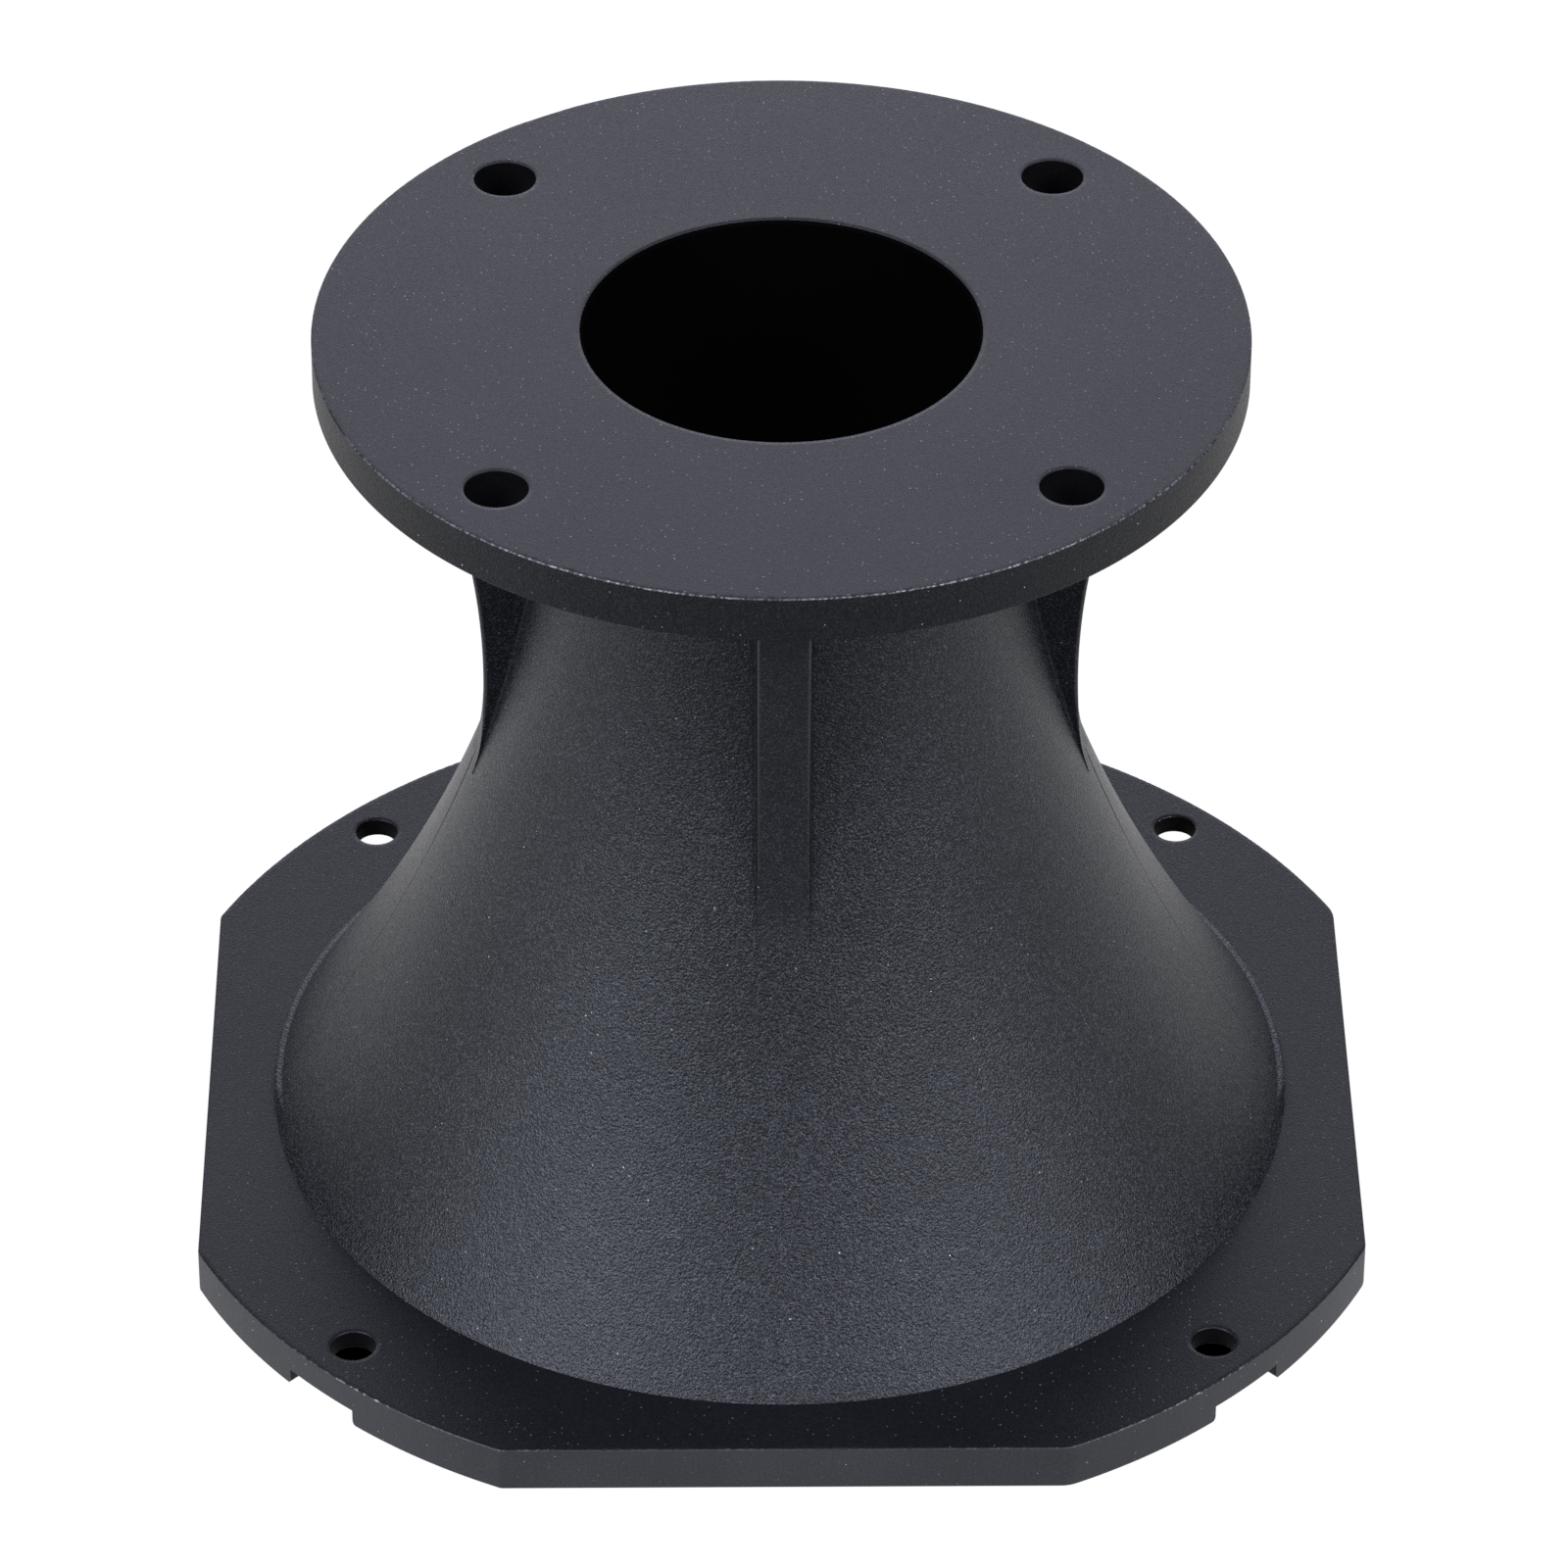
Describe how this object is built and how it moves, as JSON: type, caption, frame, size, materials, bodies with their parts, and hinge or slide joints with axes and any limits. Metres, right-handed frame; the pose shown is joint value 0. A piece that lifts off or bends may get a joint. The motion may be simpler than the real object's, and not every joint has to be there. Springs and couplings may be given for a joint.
{
  "type": "loudspeaker horn",
  "caption": "Cast round horn for a compression driver: bolt-on throat flange, gusseted flared bell, and a clipped-square mouth flange with corner screw holes.",
  "frame": {"origin": "on the horn's axis, in the plane that the mouth flange rests on", "axes": "+Z along the axis from the mouth to the throat flange, +X and +Y square to the mouth flange's flat sides"},
  "size_m": [0.155, 0.155, 0.1285],
  "materials": {
    "flange": "fine matte black powder coat with small bright specks, worn bright along the edges",
    "bell": "grainy matte black powder coat over the cast surface, with small bright specks",
    "rib": "matte black powder coat",
    "underside": "matte black powder coat"
  },
  "bodies": {
    "root": {"throat_flange": "flange", "bell_front": "bell", "bell_rear": "bell", "mouth_flange": "flange", "mouth_lip": "underside", "rib_right": "rib", "rib_rear": "rib", "rib_left": "rib", "rib_front": "rib", "seat_pad_right": "underside", "seat_pad_rear": "underside", "seat_pad_left": "underside", "seat_pad_front": "underside"}
  },
  "joints": []
}
